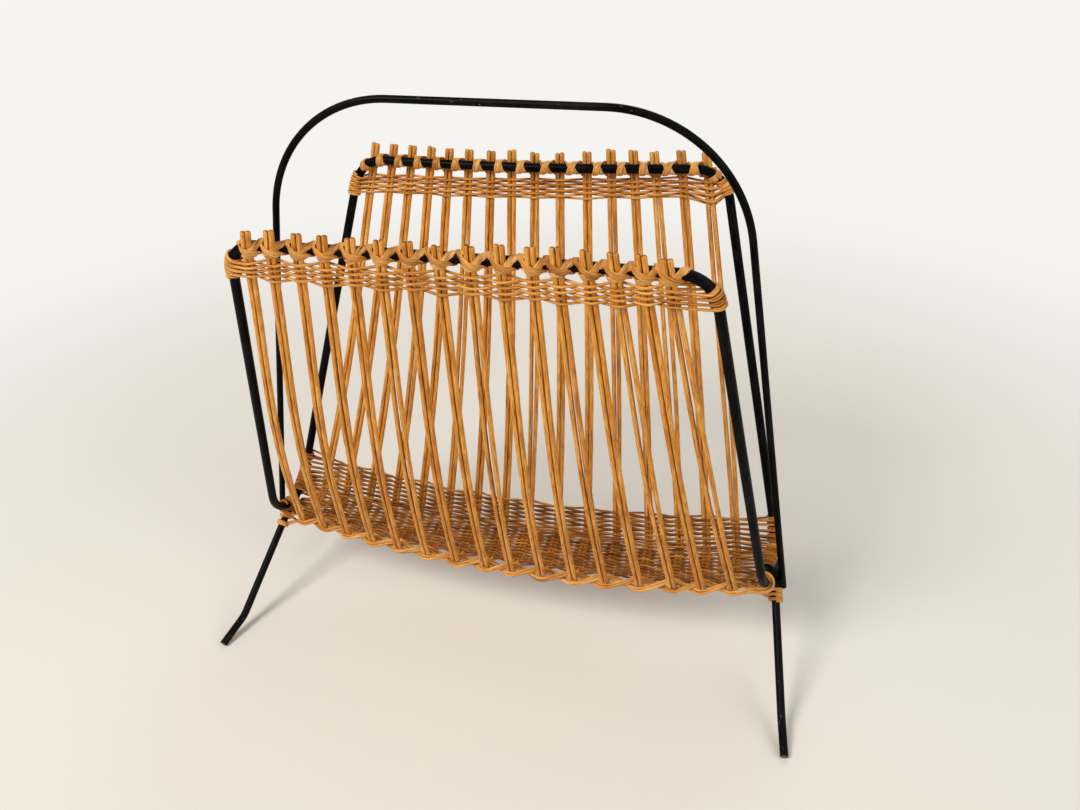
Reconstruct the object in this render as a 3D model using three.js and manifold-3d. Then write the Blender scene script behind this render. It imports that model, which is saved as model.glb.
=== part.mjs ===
// Magazine basket: a welded frame of black painted steel rod that carries a trough of rattan canes.
// Millimetres, +Z up. The origin is on the floor under the middle of the basket, X runs along its
// length, and the side that faces -Y is called the front.
import * as THREE from "three";
import { mergeVertices } from "three/addons/utils/BufferGeometryUtils.js";
import Module from "manifold-3d";

const wasm = await Module();
wasm.setup();

// Rod diameters
const HANDLE_ROD = 4.5;
const FRAME_ROD = 6;
const LEG_ROD = 5.5;

// Gap that is left between pieces that touch on the real object
const CLEARANCE = 0.3;

// The two joints, where the rods are welded together at the ends, set the width of the basket, and
// the tops of the legs under them set how high it stands.
const JOINT_HALF_WIDTH = 183.2;
const LEG_TOP_HEIGHT = 72.5;
const JOINT_RISE = 1.5;
const JOINT_HEIGHT = LEG_TOP_HEIGHT + JOINT_RISE;
const FRAME_END_GAP = 1.2;

// Handle: an arch in the middle plane whose sides spread towards the foot
const handleTopShare = 0.746;
const HANDLE_TOP_HEIGHT = 386.5;
const HANDLE_TOP_HALF_WIDTH = JOINT_HALF_WIDTH * handleTopShare;
const HANDLE_CORNER_RADIUS = 87;
const HANDLE_FOOT_DROP = 10.5;
const HANDLE_FOOT_HEIGHT = LEG_TOP_HEIGHT - HANDLE_FOOT_DROP;

// Front and back panel frames. The rail is the top run: its half width, height, distance from the
// middle plane, how far its middle bows inwards and how much higher its right end stands than its
// middle. The heel is where the side would meet the run that turns in under the basket.
const frontRailShare = 0.7325;
const FRONT_RAIL_HALF_WIDTH = JOINT_HALF_WIDTH * frontRailShare;
const FRONT_RAIL_HEIGHT = 325;
const FRONT_RAIL_REACH = 77.7;
const FRONT_RAIL_BOW = 1.9;
const FRONT_RAIL_RISE = 2;
const FRONT_CORNER_RADIUS = 20;
const FRONT_HEEL_HALF_WIDTH = JOINT_HALF_WIDTH;
const FRONT_HEEL_REACH = 28.5;
const FRONT_HEEL_RADIUS = 36;
const FRONT_LEFT_HEEL_LIFT = 2.8;
const backRailShare = 0.691;
const BACK_RAIL_HALF_WIDTH = JOINT_HALF_WIDTH * backRailShare;
const BACK_RAIL_HEIGHT = 328.7;
const BACK_RAIL_REACH = 80.9;
const BACK_RAIL_BOW = 9.5;
const BACK_RAIL_RISE = 3.2;
const BACK_CORNER_RADIUS = 24;
const BACK_HEEL_OFFSET = 5.7;
const BACK_HEEL_HALF_WIDTH = JOINT_HALF_WIDTH + BACK_HEEL_OFFSET;
const BACK_HEEL_REACH = 28.7;
const BACK_HEEL_RADIUS = 24;
const HEEL_RISE = 3;
const HEEL_HEIGHT = JOINT_HEIGHT + HEEL_RISE;

// Legs: an upside-down V at each end with its toes bent out flat. The left one was welded on a little
// lower and further in than the right one.
const LEG_TOP_HALF_WIDTH = JOINT_HALF_WIDTH + FRAME_ROD / 2 + CLEARANCE + LEG_ROD / 2;
const LEG_TOP_RADIUS = 9;
const LEFT_TOP_INSET = 2.2;
const LEFT_TOP_SINK = 3;
const TOE_SPREAD = 17.6;
const TOE_HALF_WIDTH = LEG_TOP_HALF_WIDTH + TOE_SPREAD;
const TOE_REACH = 94.5;
const TOE_HEIGHT = 2.1;
const RIGHT_KNEE_INSET = 3.4;
const LEFT_KNEE_INSET = 5.6;
const KNEE_REACH = 71;
const KNEE_HEIGHT = 10;
const KNEE_RADIUS = 22;
const BACK_LEG_NARROWING = 9;

// Canes: their places along the two rails and the floor are shares of three half lengths, uneven as
// hand work is
const CANE = 3;
const STUB_HEIGHT = 11;
const stubLeanShare = 0.09;
const FRONT_ROW_INSET = 16.2;
const FRONT_ROW_HALF_LENGTH = FRONT_RAIL_HALF_WIDTH - FRONT_ROW_INSET;
const BACK_ROW_INSET = 12.6;
const BACK_ROW_HALF_LENGTH = BACK_RAIL_HALF_WIDTH - BACK_ROW_INSET;
const FLOOR_ROW_INSET = 17.2;
const FLOOR_ROW_HALF_LENGTH = JOINT_HALF_WIDTH - FLOOR_ROW_INSET;
const FLOOR_EDGE_INSET = 10.5;
const FLOOR_EDGE_REACH = FRONT_HEEL_REACH - FLOOR_EDGE_INSET;
const FLOOR_EDGE_SWELL = 7;
const FLOOR_DROP = 5;
const FLOOR_HEIGHT = JOINT_HEIGHT - FLOOR_DROP;
const FLOOR_SAG = 11;
const FLOOR_DIP = 2;
const FLOOR_EDGE_RADIUS = 9;
const bellyShare = 0.2;
const frontRowShares = [
  -1.02, -0.9, -0.76, -0.63, -0.49, -0.35, -0.21, -0.07, 0.08, 0.22, 0.36, 0.475, 0.61, 0.73, 0.85, 0.96,
];
const backRowShares = [
  -1.03, -0.9, -0.77, -0.64, -0.52, -0.39, -0.25, -0.12, 0.02, 0.17, 0.33, 0.47, 0.6, 0.72, 0.87, 1.01,
];
const floorRowShares = [
  -1.01, -0.9, -0.78, -0.65, -0.52, -0.38, -0.24, -0.1, 0.02, 0.16, 0.3, 0.44, 0.59, 0.73, 0.85, 0.98,
];

// Weaving: strands of split cane that pass before and behind the pairs, and are wrapped round the
// rods at both ends
const STRAND = 1.4;
const FRONT_WEAVE_DROP = 6.3;
const BACK_WEAVE_DROP = 8.8;
const RIM_WEAVE_DEPTH = 14;
const backWeaveShare = 0.1;
const WEAVE_MARGIN = 3;
const WRAP_THICKNESS = 1.9;
const HEEL_WRAP_OVERHANG = 3.5;
const BRAID = 5.6;
const BRAID_OFFSET = 0.2;
const BRAID_SWELL = 0.8;
const LEG_WRAP_DROP = 11;
const LEG_WRAP_HEIGHT = LEG_TOP_HEIGHT - LEG_WRAP_DROP;
const LEG_WRAP_LENGTH = 11;

// Lashings: two flat strips of peel on each rail, which cross on every pair of canes
const PEEL_WIDTH = 3.2;
const PEEL_THICKNESS = 0.8;
const LASH_SLANT = 2.2;
const LASH_MARGIN = 1.6;

// Weld beads between the rods at the two ends
const WELD_LENGTH = 8;
const WELD_WIDTH = 10;
const WELD_HEIGHT = 7;

const ROD_SIDES = 8;
const CANE_SIDES = 5;
const BRAID_SIDES = 6;
const FULL_TURN = 2 * Math.PI;
const ARC_STEP = FULL_TURN / 20;
const HANDLE_ARC_STEP = FULL_TURN / 32;
const CUT_OVERRUN = 20;

const paint = { color: 0x17181a, roughness: 0.45, metalness: 0.35 };
const rattan = { color: 0xc4823c, roughness: 0.6, metalness: 0 };
const weave = { color: 0xb8762f, roughness: 0.65, metalness: 0 };
const peel = { color: 0xcf8f4a, roughness: 0.55, metalness: 0 };

const vec = (x, y, z) => new THREE.Vector3(x, y, z);
const mix = (from, to, share) => from + (to - from) * share;

const FRONT = {
  side: -1,
  railHalfWidth: FRONT_RAIL_HALF_WIDTH,
  railHeight: FRONT_RAIL_HEIGHT,
  railReach: FRONT_RAIL_REACH,
  railBow: FRONT_RAIL_BOW,
  railRise: FRONT_RAIL_RISE,
  cornerRadius: FRONT_CORNER_RADIUS,
  heelHalfWidth: FRONT_HEEL_HALF_WIDTH,
  heelReach: FRONT_HEEL_REACH,
  heelRadius: FRONT_HEEL_RADIUS,
  leftHeelLift: FRONT_LEFT_HEEL_LIFT,
};
const BACK = {
  side: 1,
  railHalfWidth: BACK_RAIL_HALF_WIDTH,
  railHeight: BACK_RAIL_HEIGHT,
  railReach: BACK_RAIL_REACH,
  railBow: BACK_RAIL_BOW,
  railRise: BACK_RAIL_RISE,
  cornerRadius: BACK_CORNER_RADIUS,
  heelHalfWidth: BACK_HEEL_HALF_WIDTH,
  heelReach: BACK_HEEL_REACH,
  heelRadius: BACK_HEEL_RADIUS,
  leftHeelLift: 0,
};

// A polyline that an extrusion follows from station to station, mitred at each one.
class StationPath extends THREE.Curve {
  constructor(stations) {
    super();
    this.stations = stations;
  }
  getPoint(t, target = new THREE.Vector3()) {
    const last = this.stations.length - 1;
    const place = Math.min(Math.max(t, 0), 1) * last;
    const index = Math.min(Math.floor(place), last - 1);
    return target.lerpVectors(this.stations[index], this.stations[index + 1], place - index);
  }
  getUtoTmapping(u) {
    return u;
  }
}

// Stations along straight runs, with an arc at each corner that names a radius.
function bentPath(corners, arcStep = ARC_STEP) {
  const stations = [];
  corners.forEach(({ at, radius, arcSteps }, i) => {
    if (!radius) {
      stations.push(at);
      return;
    }
    const backward = corners[i - 1].at.clone().sub(at).normalize();
    const onward = corners[i + 1].at.clone().sub(at).normalize();
    const turn = Math.PI - backward.angleTo(onward);
    const reach = radius * Math.tan(turn / 2);
    const start = at.clone().addScaledVector(backward, reach);
    const end = at.clone().addScaledVector(onward, reach);
    const toCentre = backward.clone().add(onward).normalize();
    const centre = at.clone().addScaledVector(toCentre, radius / Math.cos(turn / 2));
    const spoke = start.clone().sub(centre);
    const axis = spoke.clone().cross(end.sub(centre)).normalize();
    const steps = arcSteps || Math.ceil(turn / arcStep);
    for (let k = 0; k <= steps; k++) {
      stations.push(spoke.clone().applyAxisAngle(axis, (turn * k) / steps).add(centre));
    }
  });
  return stations;
}

// The part of a path that lies between two distances from its start.
function stretch(stations, from, to) {
  const picked = [];
  let walked = 0;
  for (let i = 1; i < stations.length; i++) {
    const start = stations[i - 1];
    const run = start.distanceTo(stations[i]);
    const enter = (from - walked) / run;
    const leave = (to - walked) / run;
    if (enter >= 0 && enter < 1) picked.push(start.clone().lerp(stations[i], enter));
    if (leave > 0 && leave <= 1) {
      picked.push(start.clone().lerp(stations[i], leave));
      break;
    }
    walked += run;
    if (walked > from) picked.push(stations[i].clone());
  }
  return picked;
}

function sweep(stations, outline) {
  return new THREE.ExtrudeGeometry(new THREE.Shape(outline), {
    steps: stations.length - 1,
    extrudePath: new StationPath(stations),
    bevelEnabled: false,
  });
}

function roundOutline(radius, sides) {
  return Array.from({ length: sides }, (_, k) => {
    const angle = (FULL_TURN * k) / sides;
    return new THREE.Vector2(radius * Math.cos(angle), radius * Math.sin(angle));
  });
}

const tube = (stations, diameter, sides = ROD_SIDES) => sweep(stations, roundOutline(diameter / 2, sides));

// A closed skin over rings of equal length, with both end rings capped as strips. A ring's first
// half is one face of a slab and its second half the other, so both are split along one diagonal.
function loft(rings) {
  const count = rings[0].length;
  const positions = rings.flat().flatMap((p) => [p.x, p.y, p.z]);
  const faces = [];
  for (let r = 0; r < rings.length - 1; r++) {
    for (let k = 0; k < count; k++) {
      const a = r * count + k;
      const b = r * count + ((k + 1) % count);
      if (k < count / 2) faces.push(a, b, b + count, a, b + count, a + count);
      else faces.push(a, b, a + count, b, b + count, a + count);
    }
  }
  const top = (rings.length - 1) * count;
  for (let k = 0; k < count / 2 - 1; k++) {
    const far = count - 1 - k;
    faces.push(k, far, far - 1, k, far - 1, k + 1);
    faces.push(top + k, top + far - 1, top + far, top + k, top + k + 1, top + far - 1);
  }
  const geometry = new THREE.BufferGeometry();
  geometry.setAttribute("position", new THREE.Float32BufferAttribute(positions, 3));
  geometry.setIndex(faces);
  return geometry;
}

function solidOf(geometry) {
  const bare = geometry.clone();
  bare.deleteAttribute("normal");
  bare.deleteAttribute("uv");
  const merged = mergeVertices(bare);
  return new wasm.Manifold(
    new wasm.Mesh({
      numProp: 3,
      vertProperties: merged.attributes.position.array,
      triVerts: new Uint32Array(merged.index.array),
    }),
  );
}

function geometryOf(solid) {
  const mesh = solid.getMesh();
  const geometry = new THREE.BufferGeometry();
  geometry.setAttribute("position", new THREE.Float32BufferAttribute(mesh.vertProperties, 3));
  geometry.setIndex(new THREE.BufferAttribute(mesh.triVerts, 1));
  return geometry;
}

const join = (parts) => parts.reduce((whole, part) => whole.add(part));
const cut = (whole, tools) => tools.reduce((rest, tool) => rest.subtract(tool), whole);

const basket = new THREE.Group();

function addPiece(name, geometry, finish) {
  const flat = geometry.index ? geometry.toNonIndexed() : geometry;
  flat.computeVertexNormals();
  const mesh = new THREE.Mesh(flat, new THREE.MeshStandardMaterial(finish));
  mesh.name = name;
  basket.add(mesh);
}

// Rods. The leg stands outside the ends of the panel frames, and the leaning handle outside the leg.
const HANDLE_STANDOFF = LEG_ROD / 2 + CLEARANCE + HANDLE_ROD / 2;
const HANDLE_SPREAD = LEG_TOP_HALF_WIDTH + HANDLE_STANDOFF - HANDLE_TOP_HALF_WIDTH;
const handleLean = HANDLE_SPREAD / (HANDLE_TOP_HEIGHT - LEG_TOP_HEIGHT);
const HANDLE_FOOT_HALF_WIDTH =
  LEG_TOP_HALF_WIDTH +
  HANDLE_STANDOFF * Math.hypot(1, handleLean) +
  handleLean * (LEG_TOP_HEIGHT - HANDLE_FOOT_HEIGHT);

function handlePath() {
  return bentPath(
    [
      { at: vec(-HANDLE_FOOT_HALF_WIDTH, 0, HANDLE_FOOT_HEIGHT) },
      { at: vec(-HANDLE_TOP_HALF_WIDTH, 0, HANDLE_TOP_HEIGHT), radius: HANDLE_CORNER_RADIUS },
      { at: vec(HANDLE_TOP_HALF_WIDTH, 0, HANDLE_TOP_HEIGHT), radius: HANDLE_CORNER_RADIUS },
      { at: vec(HANDLE_FOOT_HALF_WIDTH, 0, HANDLE_FOOT_HEIGHT) },
    ],
    HANDLE_ARC_STEP,
  );
}

// Centre of a rail at a place along it.
function railPoint(panel, x) {
  const share = x / panel.railHalfWidth;
  const reach = panel.railReach - panel.railBow * (1 - share * share);
  return vec(x, panel.side * reach, panel.railHeight + panel.railRise * share);
}

const railShares = [-0.66, -0.33, 0, 0.33, 0.66];

function framePath(panel) {
  const endReach = (panel.side * FRAME_END_GAP) / 2;
  const end = (hand) => ({ at: vec(hand * JOINT_HALF_WIDTH, endReach, JOINT_HEIGHT) });
  const heelHeight = (hand) => HEEL_HEIGHT + (hand < 0 ? panel.leftHeelLift : 0);
  const heel = (hand) => ({
    at: vec(hand * panel.heelHalfWidth, panel.side * panel.heelReach, heelHeight(hand)),
    radius: panel.heelRadius,
  });
  const corner = (hand) => ({ at: railPoint(panel, hand * panel.railHalfWidth), radius: panel.cornerRadius });
  const rail = railShares.map((share) => ({ at: railPoint(panel, share * panel.railHalfWidth) }));
  return bentPath([end(-1), heel(-1), corner(-1), ...rail, corner(1), heel(1), end(1)]);
}

const RIGHT_LEG = {
  hand: 1,
  topHalfWidth: LEG_TOP_HALF_WIDTH,
  topHeight: LEG_TOP_HEIGHT,
  kneeInset: RIGHT_KNEE_INSET,
};
const LEFT_LEG = {
  hand: -1,
  topHalfWidth: LEG_TOP_HALF_WIDTH - LEFT_TOP_INSET,
  topHeight: LEG_TOP_HEIGHT - LEFT_TOP_SINK,
  kneeInset: LEFT_KNEE_INSET,
};

// From the front toe over the top to the back toe.
function legPath({ hand, topHalfWidth, topHeight, kneeInset }) {
  const toe = (side, narrowing) => vec(hand * (TOE_HALF_WIDTH - narrowing), side * TOE_REACH, TOE_HEIGHT);
  const knee = (side, narrowing) => ({
    at: vec(hand * (TOE_HALF_WIDTH - kneeInset - narrowing), side * KNEE_REACH, KNEE_HEIGHT),
    radius: KNEE_RADIUS,
  });
  return bentPath([
    { at: toe(FRONT.side, 0) },
    knee(FRONT.side, 0),
    { at: vec(hand * topHalfWidth, 0, topHeight), radius: LEG_TOP_RADIUS },
    knee(BACK.side, BACK_LEG_NARROWING),
    { at: toe(BACK.side, BACK_LEG_NARROWING) },
  ]);
}

const handleStations = handlePath();
const frontFrameStations = framePath(FRONT);
const backFrameStations = framePath(BACK);
const leftLegStations = legPath(LEFT_LEG);
const rightLegStations = legPath(RIGHT_LEG);

addPiece("handle_hoop", tube(handleStations, HANDLE_ROD), paint);
addPiece("front_panel_frame", tube(frontFrameStations, FRAME_ROD), paint);
addPiece("back_panel_frame", tube(backFrameStations, FRAME_ROD), paint);

// Everything below the floor is taken off the toes, which leaves a small flat under each.
function underFloor() {
  const width = 2 * (TOE_HALF_WIDTH + CUT_OVERRUN);
  const depth = 2 * (TOE_REACH + CUT_OVERRUN);
  return new THREE.BoxGeometry(width, depth, CUT_OVERRUN).translate(0, 0, -CUT_OVERRUN / 2);
}

const floorCut = solidOf(underFloor());
const legSolid = (stations) => cut(solidOf(tube(stations, LEG_ROD)), [floorCut]);
addPiece("left_leg", geometryOf(legSolid(leftLegStations)), paint);
addPiece("right_leg", geometryOf(legSolid(rightLegStations)), paint);

// Rods grown by the clearance, as cutting tools
const grown = (stations, diameter) => solidOf(tube(stations, diameter + 2 * CLEARANCE));
const handleTool = grown(handleStations, HANDLE_ROD);
const frontFrameTool = grown(frontFrameStations, FRAME_ROD);
const backFrameTool = grown(backFrameStations, FRAME_ROD);
const leftLegTool = grown(leftLegStations, LEG_ROD);
const rightLegTool = grown(rightLegStations, LEG_ROD);

// A weld bead lies over the leg's top, in the valley between the handle and the frame ends.
function weldBead({ hand, topHeight }, legTool) {
  const middle = (JOINT_HALF_WIDTH + HANDLE_FOOT_HALF_WIDTH) / 2;
  const bead = new THREE.SphereGeometry(1, 10, 6)
    .scale(WELD_WIDTH / 2, WELD_LENGTH / 2, WELD_HEIGHT / 2)
    .translate(hand * middle, 0, topHeight + LEG_ROD / 2);
  return geometryOf(cut(solidOf(bead), [handleTool, frontFrameTool, backFrameTool, legTool]));
}

addPiece("left_weld_bead", weldBead(LEFT_LEG, leftLegTool), paint);
addPiece("right_weld_bead", weldBead(RIGHT_LEG, rightLegTool), paint);

// Canes. A panel's own directions: down runs along its slope, and out is square to it.
function slopeOf(panel) {
  const down = vec(0, panel.side * (panel.heelReach - panel.railReach), HEEL_HEIGHT - panel.railHeight);
  down.normalize();
  const out = vec(0, -panel.side * down.z, panel.side * down.y);
  return { down, out };
}

const CANE_STANDOFF = FRAME_ROD / 2 + CLEARANCE + CANE / 2;

// Corner of the layer of canes where a panel meets the floor.
function floorEdge(panel, x) {
  const share = x / FLOOR_ROW_HALF_LENGTH;
  const fullness = 1 - share * share;
  const reach = FLOOR_EDGE_REACH + FLOOR_EDGE_SWELL * fullness;
  return vec(x, panel.side * reach, FLOOR_HEIGHT - FLOOR_SAG * fullness);
}

// A point of the layer of canes at a share of its height, from the floor to the rail. A cane leans
// from its place along the floor to its place along the rail, and bellies out between them.
function canePoint(panel, railX, floorX, heightShare) {
  const { out } = slopeOf(panel);
  const upper = railPoint(panel, railX).addScaledVector(out, CANE_STANDOFF);
  const lower = floorEdge(panel, floorX);
  const belly = bellyShare * Math.sin(Math.PI * heightShare) * Math.sqrt(1 - heightShare);
  const point = lower.clone().lerp(upper, heightShare);
  point.y = mix(lower.y, upper.y, heightShare + belly);
  return point;
}

const caneHeightShares = [1, 0.66, 0.33, backWeaveShare];
const floorEdgeSteps = 2;

// A cane's way down a panel. The stub above the rail leans sideways as the whole cane does, and
// stands more upright than the panel.
function panelRun(panel, railX, floorX) {
  const run = caneHeightShares.map((share) => ({ at: canePoint(panel, railX, floorX, share) }));
  const upper = run[0].at;
  const corner = floorEdge(panel, floorX);
  const lean = vec((railX - floorX) / (upper.z - corner.z), panel.side * stubLeanShare, 1);
  const stub = { at: upper.clone().addScaledVector(lean, STUB_HEIGHT) };
  return [stub, ...run, { at: corner, radius: FLOOR_EDGE_RADIUS, arcSteps: floorEdgeSteps }];
}

// One cane's way through the trough: down the front, across the floor and up the back.
function troughPath({ frontX, floorX, backX }) {
  const front = panelRun(FRONT, frontX, floorX);
  const back = panelRun(BACK, backX, floorX);
  const middle = { at: vec(floorX, 0, floorEdge(FRONT, floorX).z - FLOOR_DIP) };
  return bentPath([...front, middle, ...back.reverse()]);
}

const pairs = floorRowShares.map((_, index) => ({
  frontX: frontRowShares[index] * FRONT_ROW_HALF_LENGTH,
  floorX: floorRowShares[index] * FLOOR_ROW_HALF_LENGTH,
  backX: backRowShares[index] * BACK_ROW_HALF_LENGTH,
}));
const shifted = ({ frontX, floorX, backX }, shift) => ({
  frontX: frontX + shift,
  floorX: floorX + shift,
  backX: backX + shift,
});

const CANE_SHIFT = (CANE + CLEARANCE) / 2;
pairs.forEach((pair, index) => {
  const number = String(index + 1).padStart(2, "0");
  const left = troughPath(shifted(pair, -CANE_SHIFT));
  const right = troughPath(shifted(pair, CANE_SHIFT));
  addPiece("cane_" + number + "_left", tube(left, CANE, CANE_SIDES), rattan);
  addPiece("cane_" + number + "_right", tube(right, CANE, CANE_SIDES), rattan);
});

// Square to a path and to the X axis, away from the inside of the trough.
function outwardAt(stations, i) {
  const before = stations[Math.max(i - 1, 0)];
  const after = stations[Math.min(i + 1, stations.length - 1)];
  return after.clone().sub(before).cross(vec(1, 0, 0)).normalize();
}

// How much longer a section is where a path bends, for its faces to stay parallel to the path.
function mitreAt(stations, i) {
  if (i === 0 || i === stations.length - 1) return 1;
  const before = stations[i].clone().sub(stations[i - 1]);
  const after = stations[i + 1].clone().sub(stations[i]);
  return 1 / Math.cos(before.angleTo(after) / 2);
}

// One channel for each pair, which the weaving is cut with.
const CHANNEL_HALF_WIDTH = CANE_SHIFT + CANE / 2 + CLEARANCE;
const CHANNEL_HALF_DEPTH = CANE / 2 + CLEARANCE;

function channel(pair) {
  const stations = troughPath(pair);
  const rings = stations.map((at, i) => {
    const outward = outwardAt(stations, i).multiplyScalar(CHANNEL_HALF_DEPTH * mitreAt(stations, i));
    const sideways = vec(CHANNEL_HALF_WIDTH, 0, 0);
    const corner = (hand, face) => at.clone().addScaledVector(sideways, hand).addScaledVector(outward, face);
    return [corner(-1, -1), corner(1, -1), corner(1, 1), corner(-1, 1)];
  });
  return solidOf(loft(rings));
}

const channels = pairs.map(channel);

// A band of weaving is thick where its strands pass round a pair, and thin where they cross
// between two pairs. These are its columns, from the left edge to the right.
const PAIR_HALF_WIDTH = CHANNEL_HALF_WIDTH + STRAND;
const PAIR_HALF_DEPTH = CHANNEL_HALF_DEPTH + STRAND;

function weaveColumns() {
  const column = (pair, shift, halfDepth) => ({ ...shifted(pair, shift), halfDepth });
  const columns = [column(pairs[0], -PAIR_HALF_WIDTH - WEAVE_MARGIN, STRAND)];
  pairs.forEach((pair, index) => {
    columns.push(column(pair, -PAIR_HALF_WIDTH, PAIR_HALF_DEPTH));
    columns.push(column(pair, PAIR_HALF_WIDTH, PAIR_HALF_DEPTH));
    const next = pairs[index + 1];
    if (!next) return;
    columns.push({
      frontX: (pair.frontX + next.frontX) / 2,
      floorX: (pair.floorX + next.floorX) / 2,
      backX: (pair.backX + next.backX) / 2,
      halfDepth: STRAND,
    });
  });
  columns.push(column(pairs[pairs.length - 1], PAIR_HALF_WIDTH + WEAVE_MARGIN, STRAND));
  return columns;
}

// The nearest point of a path to a given point, and how far along the path it is.
function nearestOn(stations, point) {
  let walked = 0;
  let nearest = { gap: Infinity };
  for (let i = 1; i < stations.length; i++) {
    const line = new THREE.Line3(stations[i - 1], stations[i]);
    const at = line.closestPointToPoint(point, true, new THREE.Vector3());
    const gap = at.distanceTo(point);
    if (gap < nearest.gap) nearest = { gap, at, distance: walked + at.distanceTo(stations[i - 1]) };
    walked += line.distance();
  }
  return nearest;
}

// Strands turned round a rod, as a sleeve between two distances along it.
function wrapRound(stations, diameter, from, to) {
  return solidOf(tube(stretch(stations, from, to), diameter + 2 * (CLEARANCE + WRAP_THICKNESS)));
}

// A band over the stations that a function picks from each column's path. Its ends run to the rods
// that are named for each station, and turn round them.
function weaveBand(pick, rods, overhang) {
  const columns = weaveColumns();
  const paths = columns.map((column) => pick(troughPath(column)));
  const depths = columns.map(({ halfDepth }) => halfDepth);
  const sleeves = [];
  const endPath = (edge, hand) => {
    const reached = edge.map((point, r) => (rods[r] ? nearestOn(rods[r], point) : null));
    new Set(rods.filter(Boolean)).forEach((rod) => {
      const places = reached.filter((_, r) => rods[r] === rod).map(({ distance }) => distance);
      const from = Math.min(...places) - overhang;
      const to = Math.max(...places) + overhang;
      sleeves.push(wrapRound(rod, FRAME_ROD, from, to));
    });
    return edge.map((point, r) =>
      reached[r] ? reached[r].at : point.clone().add(vec(hand * WEAVE_MARGIN, 0, 0)),
    );
  };
  paths.unshift(endPath(paths[0], -1));
  paths.push(endPath(paths[paths.length - 1], 1));
  depths.unshift(STRAND);
  depths.push(STRAND);
  const rings = rods.map((_, r) => {
    const face = (sign) =>
      paths.map((path, c) => path[r].clone().addScaledVector(outwardAt(path, r), sign * depths[c]));
    return [...face(-1), ...face(1).reverse()];
  });
  return join([solidOf(loft(rings)), ...sleeves]);
}

const FRONT_RIM_FROM = STUB_HEIGHT + FRONT_WEAVE_DROP;
const BACK_RIM_FROM = STUB_HEIGHT + BACK_WEAVE_DROP;
const rimStretch = (path, from) => stretch(path, from, from + RIM_WEAVE_DEPTH);
const frontRim = (path) => rimStretch(path, FRONT_RIM_FROM);
const backRim = (path) => rimStretch([...path].reverse(), BACK_RIM_FROM).reverse();

// From behind the front edge across the floor to the lowest station of the back panel.
const middleStation = caneHeightShares.length + floorEdgeSteps + 2;
const floorFrom = middleStation - 1;
const floorTo = middleStation + floorEdgeSteps + 3;
const floorAndBack = (path) => path.slice(floorFrom, floorTo);
const floorRods = floorAndBack(troughPath(pairs[0])).map((_, r) => {
  const station = floorFrom + r;
  if (station === middleStation) return null;
  return station < middleStation ? frontFrameStations : backFrameStations;
});
const frontRimRods = [frontFrameStations, frontFrameStations];
const backRimRods = [backFrameStations, backFrameStations];

const frontRimWeave = weaveBand(frontRim, frontRimRods, STRAND);
const backRimWeave = weaveBand(backRim, backRimRods, STRAND);
const floorWeave = weaveBand(floorAndBack, floorRods, HEEL_WRAP_OVERHANG);
const bothFrameTools = [frontFrameTool, backFrameTool];
addPiece("front_rim_weave", geometryOf(cut(frontRimWeave, [frontFrameTool, ...channels])), weave);
addPiece("back_rim_weave", geometryOf(cut(backRimWeave, [backFrameTool, ...channels])), weave);
addPiece("floor_weave", geometryOf(cut(floorWeave, [...bothFrameTools, ...channels])), weave);

// Braid along the front lower edge: fuller before each pair, and tied round both front legs.
function braidPoint(x, swell) {
  const offset = (BRAID_OFFSET + swell) * Math.SQRT1_2;
  return floorEdge(FRONT, x).add(vec(0, FRONT.side * offset, -offset));
}

function braidTie(legStations) {
  const next = legStations.findIndex((at) => at.z > LEG_WRAP_HEIGHT);
  const [low, high] = [legStations[next - 1], legStations[next]];
  return low.clone().lerp(high, (LEG_WRAP_HEIGHT - low.z) / (high.z - low.z));
}

function braid() {
  const points = [braidTie(leftLegStations)];
  pairs.forEach(({ floorX }, index) => {
    points.push(braidPoint(floorX, BRAID_SWELL));
    const next = pairs[index + 1];
    if (next) points.push(braidPoint((floorX + next.floorX) / 2, 0));
  });
  points.push(braidTie(rightLegStations));
  const ties = [leftLegStations, rightLegStations].map((stations) => {
    const { distance } = nearestOn(stations, braidTie(stations));
    const reach = LEG_WRAP_LENGTH / 2;
    return wrapRound(stations, LEG_ROD, distance - reach, distance + reach);
  });
  const whole = join([solidOf(tube(points, BRAID, BRAID_SIDES)), ...ties]);
  return geometryOf(cut(whole, [leftLegTool, rightLegTool, ...channels]));
}

addPiece("front_bottom_braid", braid(), weave);

// Lashings. The over strip crosses the outside of each pair from upper left to lower right, and
// goes once round the rail before the next pair. The under strip does the same the other way up.
const LASH_SIDE = CANE_SHIFT + CANE / 2 + PEEL_THICKNESS + CLEARANCE;
const LAYER = PEEL_THICKNESS + 3 * CLEARANCE;
const railTurnSteps = 6;
const railTurnStart = FULL_TURN / 8;
const railTurn = FULL_TURN - 2 * railTurnStart;

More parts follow.
